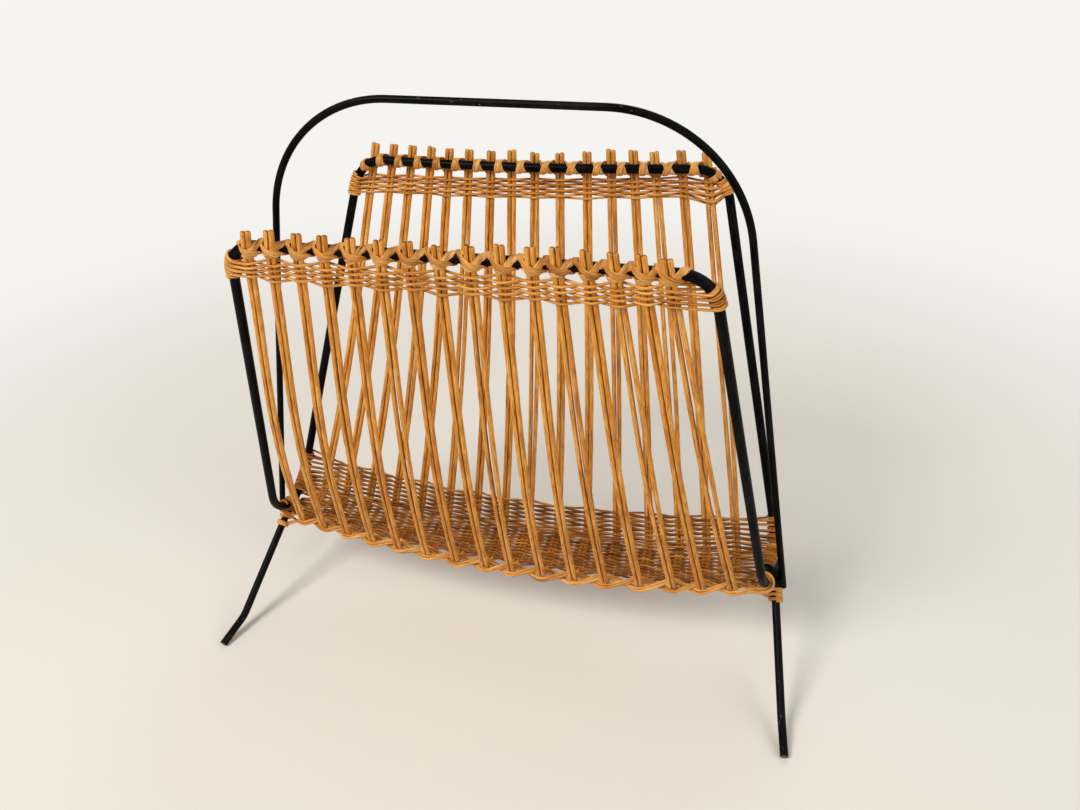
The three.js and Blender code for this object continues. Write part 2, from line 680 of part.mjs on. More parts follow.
function lashingStations(panel, places, layer, upright) {
  const { down, out } = slopeOf(panel);
  const radius = FRAME_ROD / 2 + CLEARANCE + PEEL_THICKNESS + layer;
  const front = CANE_STANDOFF + CANE / 2 + CLEARANCE + PEEL_THICKNESS / 2 + layer;
  const station = (x, outward, downward, normal) => ({
    at: railPoint(panel, x).addScaledVector(out, outward).addScaledVector(down, downward),
    normal,
  });
  const roundRail = (x, angle) => {
    const normal = out.clone().multiplyScalar(Math.cos(angle));
    normal.addScaledVector(down, upright * Math.sin(angle));
    return station(x, radius * Math.cos(angle), upright * radius * Math.sin(angle), normal);
  };
  const stations = [];
  places.forEach((x, index) => {
    stations.push(station(x - LASH_SIDE, front, -upright * LASH_SLANT, out));
    stations.push(station(x + LASH_SIDE, front, upright * LASH_SLANT, out));
    const next = places[index + 1];
    if (next === undefined) return;
    const from = x + LASH_SIDE + LASH_MARGIN;
    const to = next - LASH_SIDE - LASH_MARGIN;
    for (let k = 0; k <= railTurnSteps; k++) {
      const share = k / railTurnSteps;
      stations.push(roundRail(mix(from, to, share), railTurnStart + railTurn * share));
    }
  });
  return stations;
}

// Least distance between corners of two rings that lie at least half a turn of the rail apart. The
// corners are on the strip's own surface.
function leastSelfGap(rings) {
  const apart = Math.ceil(railTurnSteps / 2);
  let least = Infinity;
  rings.forEach((ring, i) => {
    rings.slice(i + apart).forEach((other) => {
      ring.forEach((a) => other.forEach((b) => (least = Math.min(least, a.distanceTo(b)))));
    });
  });
  return least;
}

function addLashing(name, panel, places, layer, upright) {
  const stations = lashingStations(panel, places, layer, upright);
  const last = stations.length - 1;
  const rings = stations.map(({ at, normal }, i) => {
    const along = stations[Math.min(i + 1, last)].at.clone().sub(stations[Math.max(i - 1, 0)].at);
    const across = along.cross(normal).normalize().multiplyScalar(PEEL_WIDTH / 2);
    const raised = normal.clone().multiplyScalar(PEEL_THICKNESS / 2);
    const corner = (side, face) => at.clone().addScaledVector(across, side).addScaledVector(raised, face);
    return [corner(-1, 1), corner(1, 1), corner(1, -1), corner(-1, -1)];
  });
  addPiece(name, loft(rings), peel);
  console.log(name + ", least gap to itself: " + leastSelfGap(rings).toFixed(2) + " mm");
}

const frontPlaces = pairs.map(({ frontX }) => frontX);
const backPlaces = pairs.map(({ backX }) => backX);
addLashing("front_lashing_under", FRONT, frontPlaces, 0, -1);
addLashing("front_lashing_over", FRONT, frontPlaces, LAYER, 1);
addLashing("back_lashing_under", BACK, backPlaces, 0, -1);
addLashing("back_lashing_over", BACK, backPlaces, LAYER, 1);

export default basket;
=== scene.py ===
"""Looks of the magazine basket: painted steel rods and a trough of rattan canes.

Lengths are in millimetres until a mesh is made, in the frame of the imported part. A side is -1 at
the front and 1 at the back, and a hand is -1 on the left and 1 on the right.
"""

import math

import bpy
import numpy as np
from mathutils import Matrix

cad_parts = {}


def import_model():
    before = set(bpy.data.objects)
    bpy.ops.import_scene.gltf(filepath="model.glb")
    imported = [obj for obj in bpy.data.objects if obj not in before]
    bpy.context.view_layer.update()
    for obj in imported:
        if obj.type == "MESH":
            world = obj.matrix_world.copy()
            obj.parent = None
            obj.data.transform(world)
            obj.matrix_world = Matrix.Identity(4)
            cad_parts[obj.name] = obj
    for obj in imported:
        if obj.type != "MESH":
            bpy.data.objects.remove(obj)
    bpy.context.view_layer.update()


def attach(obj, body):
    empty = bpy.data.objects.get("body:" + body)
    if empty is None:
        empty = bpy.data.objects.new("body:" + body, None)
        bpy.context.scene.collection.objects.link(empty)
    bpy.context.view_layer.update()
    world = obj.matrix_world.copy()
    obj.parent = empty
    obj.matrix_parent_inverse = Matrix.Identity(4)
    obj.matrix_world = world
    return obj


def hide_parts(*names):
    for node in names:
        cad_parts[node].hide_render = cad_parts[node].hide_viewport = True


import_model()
MM = 0.001
UP = np.array([0.0, 0.0, 1.0])
ALONG = np.array([1.0, 0.0, 0.0])
rng = np.random.default_rng(11)

# Driving dimensions, as in the part's source
HANDLE_ROD, FRAME_ROD, LEG_ROD, CANE = 4.5, 6.0, 5.5, 3.0
CLEARANCE = 0.3
JOINT_HALF_WIDTH, LEG_TOP_HEIGHT, JOINT_HEIGHT, FRAME_END_GAP = 183.2, 72.5, 74.0, 1.2
LEG_TOP_HALF_WIDTH = JOINT_HALF_WIDTH + FRAME_ROD / 2 + CLEARANCE + LEG_ROD / 2
FRONT = dict(
    side=-1, half=134.19, z=325.0, reach=77.7, bow=1.9, rise=2.0, corner=20.0,
    heel=183.2, heel_reach=28.5, heel_radius=36.0, left_lift=2.8,
)
BACK = dict(
    side=1, half=126.59, z=328.7, reach=80.9, bow=9.5, rise=3.2, corner=24.0,
    heel=188.9, heel_reach=28.7, heel_radius=24.0, left_lift=0.0,
)
HEEL_HEIGHT = 77.0
HANDLE_TOP_HALF, HANDLE_TOP_HEIGHT, HANDLE_RADIUS, HANDLE_FOOT_DROP = 136.67, 386.5, 87.0, 10.5
RIGHT_LEG = dict(hand=1, top=LEG_TOP_HALF_WIDTH, z=72.5, knee_inset=3.4)
LEFT_LEG = dict(hand=-1, top=LEG_TOP_HALF_WIDTH - 2.2, z=69.5, knee_inset=5.6)
TOE_HALF, TOE_REACH, TOE_HEIGHT = LEG_TOP_HALF_WIDTH + 17.6, 94.5, 2.1
KNEE_REACH, KNEE_HEIGHT, KNEE_RADIUS, LEG_TOP_RADIUS, BACK_LEG_NARROWING = 71.0, 10.0, 22.0, 9.0, 9.0
FRONT_ROW, BACK_ROW, FLOOR_ROW = FRONT["half"] - 16.2, BACK["half"] - 12.6, 166.0
FLOOR_REACH, FLOOR_SWELL, FLOOR_HEIGHT, FLOOR_SAG, FLOOR_DIP = 18.0, 7.0, 69.0, 11.0, 2.0
FLOOR_BEND = 6.0
STUB_LEAN = 0.09
front_x = FRONT_ROW * np.array(
    [-1.02, -0.9, -0.76, -0.63, -0.49, -0.35, -0.21, -0.07, 0.08, 0.22, 0.36, 0.475, 0.61, 0.73, 0.85, 0.96]
)
back_x = BACK_ROW * np.array(
    [-1.03, -0.9, -0.77, -0.64, -0.52, -0.39, -0.25, -0.12, 0.02, 0.17, 0.33, 0.47, 0.6, 0.72, 0.87, 1.01]
)
floor_x = FLOOR_ROW * np.array(
    [-1.01, -0.9, -0.78, -0.65, -0.52, -0.38, -0.24, -0.1, 0.02, 0.16, 0.3, 0.44, 0.59, 0.73, 0.85, 0.98]
)
PAIRS = len(floor_x)

# How far each pair stands up over its rail, as the cuts left it
front_stubs = [
    11.8, 12.6, 11.9, 11.2, 10.8, 10.6, 10.4, 9.5, 10.5, 11.8, 12.0, 12.7, 12.2, 12.2, 11.7, 10.8,
]
back_stubs = [
    10.9, 11.2, 11.1, 10.6, 10.3, 10.0, 9.6, 10.3, 9.3, 9.3, 10.3, 11.8, 11.5, 10.3, 11.3, 9.9,
]

# A rounded end is drawn in by this share of its rounding at half way. Painted shade on the side
# facing the twin cane takes this much of the tone, in a line that a cosine to this power narrows
END_BEVEL, TWIN_SHADE_DEPTH, TWIN_SHADE_POWER = 0.35, 0.36, 9

# Lengths over which no two pieces share the same grain
GRAIN_SPREAD = 900


def vec(x, y, z):
    return np.array([x, y, z], float)


def unit(v):
    return v / np.linalg.norm(v)


def turned(v, axis, angle):
    c, s = math.cos(angle), math.sin(angle)
    return v * c + np.cross(axis, v) * s + axis * np.dot(axis, v) * (1 - c)


def bent_path(corners, step=math.radians(5)):
    """Points along straight runs, with an arc at each corner that has a radius."""
    points = []
    for i, (at, radius) in enumerate(corners):
        if not radius:
            points.append(at)
            continue
        back, on = unit(corners[i - 1][0] - at), unit(corners[i + 1][0] - at)
        turn = math.pi - math.acos(np.clip(np.dot(back, on), -1, 1))
        reach = radius * math.tan(turn / 2)
        start, end = at + back * reach, at + on * reach
        centre = at + unit(back + on) * radius / math.cos(turn / 2)
        axis = unit(np.cross(start - centre, end - centre))
        count = max(3, math.ceil(turn / step))
        points += [centre + turned(start - centre, axis, turn * k / count) for k in range(count + 1)]
    return np.array(points)


def lengths(points):
    return np.concatenate([[0], np.cumsum(np.linalg.norm(np.diff(points, axis=0), axis=1))])


def at_length(points, where):
    """Points of a polyline at distances along it."""
    run = lengths(points)
    return np.stack([np.interp(where, run, points[:, k]) for k in range(3)], axis=-1)


def resampled(points, step):
    total = lengths(points)[-1]
    return at_length(points, np.linspace(0, total, max(3, round(total / step) + 1)))


def smooth(points, step):
    """A Catmull-Rom curve through points, sampled at even steps."""
    points = np.array(points)
    gaps = np.linalg.norm(np.diff(points, axis=0), axis=1)
    points = points[np.concatenate([[True], gaps > 1e-4])]
    padded = np.vstack([2 * points[0] - points[1], points, 2 * points[-1] - points[-2]])
    knots = np.concatenate([[0], np.cumsum(np.sqrt(np.linalg.norm(np.diff(padded, axis=0), axis=1)))])
    out = []
    for i in range(1, len(padded) - 2):
        t0, t1, t2, t3 = knots[i - 1 : i + 3]
        p0, p1, p2, p3 = padded[i - 1 : i + 3]
        count = max(2, round(np.linalg.norm(p2 - p1) / step * 2))
        t = np.linspace(t1, t2, count, endpoint=False)[:, None]
        a1 = (t1 - t) / (t1 - t0) * p0 + (t - t0) / (t1 - t0) * p1
        a2 = (t2 - t) / (t2 - t1) * p1 + (t - t1) / (t2 - t1) * p2
        a3 = (t3 - t) / (t3 - t2) * p2 + (t - t2) / (t3 - t2) * p3
        b1 = (t2 - t) / (t2 - t0) * a1 + (t - t0) / (t2 - t0) * a2
        b2 = (t3 - t) / (t3 - t1) * a2 + (t - t1) / (t3 - t1) * a3
        out.append((t2 - t) / (t2 - t1) * b1 + (t - t1) / (t2 - t1) * b2)
    out.append(points[-1:])
    return resampled(np.vstack(out), step)


def tangents(points):
    ahead = np.vstack([points[1:], points[-1:]])
    behind = np.vstack([points[:1], points[:-1]])
    t = ahead - behind
    return t / np.linalg.norm(t, axis=1, keepdims=True)


def carried_normals(points):
    """Normals carried along a path without twist."""
    t = tangents(points)
    n = np.zeros_like(points)
    seed = ALONG if abs(t[0][0]) < 0.8 else UP
    n[0] = unit(seed - t[0] * np.dot(seed, t[0]))
    for i in range(1, len(points)):
        v = n[i - 1] - t[i] * np.dot(n[i - 1], t[i])
        n[i] = v / np.linalg.norm(v)
    return t, n


class Build:
    """Collects tubes and strips into one mesh, with a grain direction and a tone for each."""

    def __init__(self):
        self.verts, self.faces, self.grain, self.tone, self.flat = [], [], [], [], []
        self.count = 0

    def rings(self, rings, grain, tone):
        """A closed skin over rings of points, with a flat face at each end."""
        rows, sides = rings.shape[:2]
        self.verts.append(rings.reshape(-1, 3))
        self.grain.append((grain + rng.uniform(-GRAIN_SPREAD, GRAIN_SPREAD, 3)).reshape(-1, 3))
        tone = np.asarray(tone, float)
        if tone.ndim < 2:
            tone = tone.reshape(-1, 1)
        self.tone.append(np.broadcast_to(tone, (rows, sides)).ravel())
        index = self.count + np.arange(rows * sides).reshape(rows, sides)
        a, b = index[:-1], np.roll(index, -1, axis=1)[:-1]
        c, d = np.roll(index, -1, axis=1)[1:], index[1:]
        quads = np.stack([a, b, c, d], axis=-1).reshape(-1, 4)
        self.faces += quads.tolist()
        self.flat += [len(self.faces), len(self.faces) + 1]
        self.faces += [index[0][::-1].tolist(), index[-1].tolist()]
        self.count += rows * sides

    def tube(
        self, points, radius, sides, tone=0.0, rounding=0.3, end_tone=0.0, floor=False, twin_shade=None
    ):
        """A round rod or strand. radius and tone are a number or one for each point.

        rounding is how much of the radius the rounded ends take, end_tone the change of tone on
        the end faces, and twin_shade the angle round the tube of a painted line of shade along it,
        where a twin cane lies against it. With floor, nothing reaches below the floor.
        """
        radius = np.broadcast_to(np.asarray(radius, float), len(points)).copy()
        tone = np.broadcast_to(np.asarray(tone, float), len(points)).copy()
        t = tangents(points)
        if rounding:
            cut = rounding * radius[0]
            points = np.vstack(
                [
                    points[0],
                    points[0] + t[0] * cut * END_BEVEL,
                    points[0] + t[0] * cut,
                    points[1:-1],
                    points[-1] - t[-1] * cut,
                    points[-1] - t[-1] * cut * END_BEVEL,
                    points[-1],
                ]
            )
            first, last = radius[0], radius[-1]
            radius = np.concatenate(
                [
                    [first - cut, first - cut * END_BEVEL, first],
                    radius[1:-1],
                    [last, last - cut * END_BEVEL, last - cut],
                ]
            )
            start, end = tone[0], tone[-1]
            tone = np.concatenate(
                [[start + end_tone, start, start], tone[1:-1], [end, end, end + end_tone]]
            )
        t, n = carried_normals(points)
        b = np.cross(t, n)
        angle = np.linspace(0, 2 * math.pi, sides, endpoint=False)
        c, s = np.cos(angle)[None, :, None], np.sin(angle)[None, :, None]
        rings = points[:, None] + radius[:, None, None] * (c * n[:, None] + s * b[:, None])
        if floor:
            rings[..., 2] = np.maximum(rings[..., 2], 0)
        run = np.broadcast_to(lengths(points)[:, None], (len(points), sides))
        around = np.broadcast_to(angle, run.shape)
        size = radius[:, None]
        grain = np.stack([size * np.cos(around), size * np.sin(around), run], axis=-1)
        # Painted shade: the side that faces the twin cane is darkened along the whole cane
        if twin_shade is not None:
            near = np.clip(np.cos(angle - twin_shade), 0, 1)[None, :]
            tone = tone[:, None] - TWIN_SHADE_DEPTH * near**TWIN_SHADE_POWER
        self.rings(rings, grain, tone)

    def strip(self, points, normals, width, thickness, tone, crown):
        """A flat strip whose face follows the normals. Its edges are crown lower than its middle."""
        t = tangents(points)
        n = normals - t * np.sum(normals * t, axis=1, keepdims=True)
        n /= np.linalg.norm(n, axis=1, keepdims=True)
        side = np.cross(t, n)
        across = np.array([-1, -0.86, -0.5, 0, 0.5, 0.86, 1, 0.86, 0.5, 0, -0.5, -0.86])
        lift = np.array([0, 0.42, 0.5, 0.5, 0.5, 0.42, 0, -0.42, -0.5, -0.5, -0.5, -0.42])
        lift = lift * thickness - crown * across**2
        rings = (
            points[:, None]
            + side[:, None] * (across * width / 2)[None, :, None]
            + n[:, None] * lift[None, :, None]
        )
        run = np.broadcast_to(lengths(points)[:, None], rings.shape[:2])
        wide = np.broadcast_to(across * width / 2, rings.shape[:2])
        high = np.broadcast_to(lift, rings.shape[:2])
        self.rings(rings, np.stack([wide, high, run], axis=-1), tone)

    def piece(self, name, material, slot, *nodes):
        """Makes the mesh, which stands in for the named solids."""
        mesh = bpy.data.meshes.new(name)
        verts = np.vstack(self.verts) * MM
        mesh.from_pydata(verts.tolist(), [], self.faces)
        mesh.update()
        smooth_flags = np.ones(len(mesh.polygons), bool)
        smooth_flags[self.flat] = False
        mesh.polygons.foreach_set("use_smooth", smooth_flags)
        grain = mesh.attributes.new("grain", "FLOAT_VECTOR", "POINT")
        grain.data.foreach_set("vector", np.vstack(self.grain).astype(np.float32).ravel())
        tone = mesh.attributes.new("tone", "FLOAT", "POINT")
        tone.data.foreach_set("value", np.concatenate(self.tone).astype(np.float32))
        mesh.materials.append(material)
        obj = bpy.data.objects.new(name, mesh)
        bpy.context.scene.collection.objects.link(obj)
        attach(obj, "root")
        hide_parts(*nodes)
        return obj


# Materials


class Nodes:
    """A material's node tree. A value is a number or another node's output."""

    def __init__(self, name):
        self.material = bpy.data.materials.new(name)
        self.material.use_nodes = True
        self.tree = self.material.node_tree
        self.shader = self.tree.nodes["Principled BSDF"]

    def add(self, kind, **inputs):
        node = self.tree.nodes.new(kind)
        for key, value in inputs.items():
            socket = node.inputs[key.replace("_", " ")]
            if isinstance(value, bpy.types.NodeSocket):
                self.tree.links.new(value, socket)
            else:
                socket.default_value = value
        return node

    def math(self, operation, a, b):
        node = self.tree.nodes.new("ShaderNodeMath")
        node.operation = operation
        for socket, value in zip(node.inputs, (a, b)):
            if isinstance(value, bpy.types.NodeSocket):
                self.tree.links.new(value, socket)
            else:
                socket.default_value = value
        return node.outputs[0]

    def attribute(self, name):
        node = self.tree.nodes.new("ShaderNodeAttribute")
        node.attribute_name = name
        return node

    def noise(self, vector, scale, detail=3.0, roughness=0.6):
        node = self.add(
            "ShaderNodeTexNoise", Vector=vector, Scale=scale, Detail=detail, Roughness=roughness
        )
        return node.outputs["Fac"]

    def stretched(self, vector, x, y, z):
        node = self.tree.nodes.new("ShaderNodeMapping")
        self.tree.links.new(vector, node.inputs["Vector"])
        node.inputs["Scale"].default_value = (x, y, z)
        return node.outputs["Vector"]

    def ramp(self, fac, *stops):
        node = self.tree.nodes.new("ShaderNodeValToRGB")
        self.tree.links.new(fac, node.inputs["Fac"])
        ramp = node.color_ramp
        while len(ramp.elements) < len(stops):
            ramp.elements.new(0.5)
        for element, (position, colour) in zip(ramp.elements, stops):
            element.position = position
            element.color = (*colour, 1) if len(colour) == 3 else colour
        return node.outputs["Color"]

    def span(self, fac, low, high):
        node = self.add("ShaderNodeMapRange", Value=fac)
        node.inputs["To Min"].default_value = low
        node.inputs["To Max"].default_value = high
        return node.outputs["Result"]

    def mix(self, fac, a, b, blend="MIX"):
        node = self.tree.nodes.new("ShaderNodeMix")
        node.data_type = "RGBA"
        node.blend_type = blend
        for socket, value in ((node.inputs[0], fac), (node.inputs[6], a), (node.inputs[7], b)):
            if isinstance(value, bpy.types.NodeSocket):
                self.tree.links.new(value, socket)
            else:
                socket.default_value = value if isinstance(value, float) else (*value, 1)
        return node.outputs[2]

    def bump(self, height, strength, distance):
        node = self.add("ShaderNodeBump", Height=height, Strength=strength, Distance=distance)
        self.tree.links.new(node.outputs["Normal"], self.shader.inputs["Normal"])

    def set(self, **values):
        for key, value in values.items():
            socket = self.shader.inputs[key.replace("_", " ")]
            if isinstance(value, bpy.types.NodeSocket):
                self.tree.links.new(value, socket)
            else:
                socket.default_value = value


def rattan(name, dark, middle, light, roughness, coat, lines):
    """Rattan with a long grain: dark pores drawn out along the strand, and slow changes of tone.

    lines is how strongly the pores show. The grain's third direction runs along the strand.
    """
    m = Nodes(name)
    grain = m.attribute("grain").outputs["Vector"]
    tone = m.attribute("tone").outputs["Fac"]
    fibre = m.noise(m.stretched(grain, 2.2, 2.2, 0.05), 1.0, 4.0, 0.62)
    pore = m.noise(m.stretched(grain, 5.5, 5.5, 0.11), 1.0, 2.0, 0.5)
    cloud = m.noise(m.stretched(grain, 0.16, 0.16, 0.045), 1.0, 2.0, 0.5)
    mixed = m.math("ADD", m.math("MULTIPLY", fibre, 0.62), m.math("MULTIPLY", cloud, 0.38))
    mixed = m.math("ADD", mixed, tone)
    black = tuple(channel * 0.12 for channel in dark)
    colour = m.ramp(mixed, (0.1, black), (0.34, dark), (0.5, middle), (0.66, light))
    streak = m.ramp(pore, (0.38, (0.3, 0.15, 0.07)), (0.5, (1, 1, 1)))
    colour = m.mix(lines, colour, streak, "MULTIPLY")
    m.set(Base_Color=colour, Roughness=m.span(fibre, roughness - 0.09, roughness + 0.12))
    m.set(Specular_IOR_Level=0.25, Coat_Weight=coat, Coat_Roughness=0.32)
    m.bump(m.math("ADD", m.math("MULTIPLY", fibre, 0.5), m.math("MULTIPLY", pore, 0.5)), 0.6, 0.00025)
    return m.material


def steel_paint(name):
    """Black satin paint with fine orange peel, rubbed places, dust and chips. Tone adds wear."""
    m = Nodes(name)
    grain = m.attribute("grain").outputs["Vector"]
    wear = m.attribute("tone").outputs["Fac"]
    peel = m.noise(grain, 1.4, 2.0, 0.5)
    rub = m.noise(m.stretched(grain, 0.16, 0.16, 0.05), 1.0, 4.0, 0.7)
    chips = m.noise(m.stretched(grain, 0.5, 0.5, 0.24), 1.0, 3.0, 0.65)
    worn = m.math("ADD", chips, m.math("MULTIPLY", wear, 0.3))
    dusty = m.math("ADD", rub, m.math("MULTIPLY", wear, 0.35))
    base = m.ramp(dusty, (0.45, (0.0006, 0.0006, 0.0007)), (0.95, (0.014, 0.013, 0.012)))
    chipped = m.ramp(worn, (0.74, (0, 0, 0)), (0.765, (1, 1, 1)))
    colour = m.mix(chipped, base, (0.16, 0.105, 0.07))
    m.set(Base_Color=colour, Roughness=m.span(rub, 0.3, 0.5), Specular_IOR_Level=0.06)
    m.bump(m.math("ADD", peel, m.math("MULTIPLY", chips, 0.4)), 0.25, 0.00012)
    return m.material


PAINT = steel_paint("black_satin_paint")
CANE_LOOK = rattan(
    "round_cane", dark=(0.44, 0.145, 0.011), middle=(0.8, 0.33, 0.042), light=(0.94, 0.52, 0.125),
    roughness=0.5, coat=0.05, lines=0.9,
)
WEAVE_LOOK = rattan(
    "split_cane", dark=(0.38, 0.125, 0.012), middle=(0.74, 0.315, 0.05), light=(0.94, 0.53, 0.15),
    roughness=0.52, coat=0.05, lines=0.9,
)
PEEL_LOOK = rattan(
    "flat_peel", dark=(0.42, 0.15, 0.018), middle=(0.76, 0.34, 0.065), light=(0.94, 0.55, 0.18),
    roughness=0.42, coat=0.1, lines=0.9,
)


# Rods


def rail_point(panel, x):
    share = x / panel["half"]
    reach = panel["reach"] - panel["bow"] * (1 - share**2)
    return vec(x, panel["side"] * reach, panel["z"] + panel["rise"] * share)


def frame_path(panel):
    """From the left joint up the left side, along the rail and down to the right joint."""
    side, half = panel["side"], panel["half"]

    def foot(hand):
        """The rod's end, the heel and the rail's corner."""
        height = HEEL_HEIGHT + (panel["left_lift"] if hand < 0 else 0)
        end = vec(hand * JOINT_HALF_WIDTH, side * FRAME_END_GAP / 2, JOINT_HEIGHT)
        heel = vec(hand * panel["heel"], side * panel["heel_reach"], height)
        corner = rail_point(panel, hand * half)
        return [(end, None), (heel, panel["heel_radius"]), (corner, panel["corner"])]

    rail = [(rail_point(panel, half * share), None) for share in np.linspace(-0.8, 0.8, 17)]
    return bent_path([*foot(-1), *rail, *foot(1)[::-1]])


def handle_path():
    """Over the basket from the left joint to the right one."""
    foot_z = LEG_TOP_HEIGHT - HANDLE_FOOT_DROP
    standoff = LEG_ROD / 2 + CLEARANCE + HANDLE_ROD / 2
    lean = (LEG_TOP_HALF_WIDTH + standoff - HANDLE_TOP_HALF) / (HANDLE_TOP_HEIGHT - LEG_TOP_HEIGHT)
    foot_half = LEG_TOP_HALF_WIDTH + standoff * math.hypot(1, lean) + lean * HANDLE_FOOT_DROP
    left, right = [(vec(hand * foot_half, 0, foot_z), None) for hand in (-1, 1)]
    top = [(vec(hand * HANDLE_TOP_HALF, 0, HANDLE_TOP_HEIGHT), HANDLE_RADIUS) for hand in (-1, 1)]
    return bent_path([left, *top, right], math.radians(3))


def leg_path(leg):
    """From the front toe over the top to the back toe."""
    hand = leg["hand"]

    def foot(side, narrowing):
        toe = vec(hand * (TOE_HALF - narrowing), side * TOE_REACH, TOE_HEIGHT)
        knee = vec(hand * (TOE_HALF - leg["knee_inset"] - narrowing), side * KNEE_REACH, KNEE_HEIGHT)
        return [(toe, None), (knee, KNEE_RADIUS)]

    top = (vec(hand * leg["top"], 0, leg["z"]), LEG_TOP_RADIUS)
    return bent_path([*foot(-1, 0), top, *foot(1, BACK_LEG_NARROWING)[::-1]])


HANDLE, FRONT_FRAME, BACK_FRAME = handle_path(), frame_path(FRONT), frame_path(BACK)
LEFT, RIGHT = leg_path(LEFT_LEG), leg_path(RIGHT_LEG)

# Wear of the paint: on the hoop's top it grows over a few millimetres from a height, and on the
# legs from another height down to the toes
HOOP_WEAR, HOOP_WEAR_FROM, HOOP_WEAR_OVER = 0.22, 375, 8
TOE_WEAR, TOE_WEAR_BELOW = 0.3, 45


def rod(name, path, diameter, toes=False):
    path = resampled(path, 1.5)
    height = path[:, 2]
    wear = np.clip((height - HOOP_WEAR_FROM) / HOOP_WEAR_OVER, 0, 1) * HOOP_WEAR
    if toes:
        wear += np.clip((TOE_WEAR_BELOW - height) / TOE_WEAR_BELOW, 0, 1) * TOE_WEAR
    build = Build()
    build.tube(path, diameter / 2, 20, tone=wear, rounding=0.14, end_tone=1.0, floor=toes)
    build.piece(name + "_rod", PAINT, "painted_steel", name)


rod("handle_hoop", HANDLE, HANDLE_ROD)
rod("front_panel_frame", FRONT_FRAME, FRAME_ROD)
rod("back_panel_frame", BACK_FRAME, FRAME_ROD)
rod("left_leg", LEFT, LEG_ROD, toes=True)
rod("right_leg", RIGHT, LEG_ROD, toes=True)

# Lumps of a weld bead: (along Y, height over the bead's seat, radius)
TOP_LUMPS = [(-2.4, 0.0, 1.9), (-0.8, 0.4, 2.2), (0.9, 0.2, 2.3), (2.5, -0.1, 1.8)]
SIDE_LUMPS = [
    (-2.6, -4.6, 1.9), (-3.0, -7.6, 1.8), (-3.4, -10.4, 1.6), (2.6, -5.0, 1.8), (3.0, -8.0, 1.5),
]
BEAD_MIDDLE = JOINT_HALF_WIDTH + 11.1 / 2
BEAD_SEAT, LUMP_HALF_LENGTH, SIDE_LUMPS_ASIDE = 2.1, 3.4, 3.6


def weld_bead(name, leg):
    """A lumpy bead in the valley over the leg's top, and down the outer side of the joint."""
    build = Build()
    across = np.linspace(-1, 1, 13)
    roundness = np.sqrt(np.clip(1 - (across * 0.97) ** 2, 0.03, 1))
    for lumps, aside in ((TOP_LUMPS, 0), (SIDE_LUMPS, SIDE_LUMPS_ASIDE)):
        for along, lift, size in lumps:
            centre = vec(leg["hand"] * (BEAD_MIDDLE + aside), along, leg["z"] + BEAD_SEAT + lift)
            points = centre + np.outer(across * LUMP_HALF_LENGTH, ALONG)
            build.tube(points, size * roundness, 14, rounding=0)
    build.piece(name + "_lumps", PAINT, "painted_steel", name)


weld_bead("left_weld_bead", LEFT_LEG)
weld_bead("right_weld_bead", RIGHT_LEG)


# Canes


def slope(panel):
    """A panel's own directions: down along it, and out, square to it."""
    down = unit(vec(0, panel["side"] * (panel["heel_reach"] - panel["reach"]), HEEL_HEIGHT - panel["z"]))
    return down, vec(0, -panel["side"] * down[2], panel["side"] * down[1])


# The canes lie on the outside of the rails, and belly out between rail and floor
STANDOFF = FRAME_ROD / 2 + CLEARANCE + CANE / 2
BELLY = 0.2


def floor_edge(panel, x):
    """Where the canes turn in under the floor. The floor is wider and lower in its middle."""
    fullness = 1 - (x / FLOOR_ROW) ** 2
    reach = FLOOR_REACH + FLOOR_SWELL * fullness
    return vec(x, panel["side"] * reach, FLOOR_HEIGHT - FLOOR_SAG * fullness)


def cane_point(panel, rail_x, low_x, share):
    """A point of the layer of canes at a share of its height, from the floor to the rail."""
    upper = rail_point(panel, rail_x) + slope(panel)[1] * STANDOFF
    lower = floor_edge(panel, low_x)
    point = lower + (upper - lower) * share
    belly = BELLY * math.sin(math.pi * share) * math.sqrt(1 - share)
    point[1] = lower[1] + (upper[1] - lower[1]) * (share + belly)
    return point


# The heights, as shares, at which a cane's way down a panel is worked out
HEIGHTS = [1, 0.96, 0.9, 0.83, 0.75, 0.66, 0.56, 0.46, 0.36, 0.27, 0.19, 0.12, 0.07]


def trough_path(front, low, back, stubs=(0, 0), parting=0.0):
    """One cane's way: down the front, across the floor and up the back.

    front, low and back are its places along the front rail, the floor and the back rail. stubs are
    its heights over the two rails, and parting is how far it bulges aside halfway down a panel.
    """

    def run(panel, rail_x, stub):
        points = []
        for share in HEIGHTS:
            apart = parting * math.sin(math.pi * min(1, (1 - share) * 1.05)) ** 2
            points.append((cane_point(panel, rail_x, low, share) + ALONG * apart, None))
        edge = floor_edge(panel, low)
        top = points[0][0]
        lean = vec((rail_x - low) / (top[2] - edge[2]), panel["side"] * STUB_LEAN, 1)
        above = [(top + lean * stub, None)] if stub else []
        return [*above, *points, (edge, FLOOR_BEND)]

    middle = (vec(low, 0, floor_edge(FRONT, low)[2] - FLOOR_DIP), None)
    front_run, back_run = run(FRONT, front, stubs[0]), run(BACK, back, stubs[1])
    return bent_path([*front_run, middle, *back_run[::-1]], math.radians(12))


# The two canes of a pair lie against each other, but in some pairs they bulge apart
CANE_SHIFT = (CANE + CLEARANCE) / 2
CANE_RADIUS, CANE_INSET = 1.56, 0.08
LEAST_PARTING = 0.02
partings = {5: 0.5, 8: 0.6, 13: 1.0, 15: 0.9, 3: 0.25, 11: 0.3}


def cane_radius(run):
    """A slow and a quicker wave along the cane, and two knots."""
    slow = 0.02 * np.sin(run / 23 + rng.uniform(0, 6))
    quick = 0.012 * np.sin(run / 7 + rng.uniform(0, 6))
    wave = 1 + slow + quick
    for knot in rng.uniform(30, run[-1] - 30, 2):
        wave += 0.05 * np.exp(-(((run - knot) / 2.2) ** 2))
    return CANE_RADIUS * wave


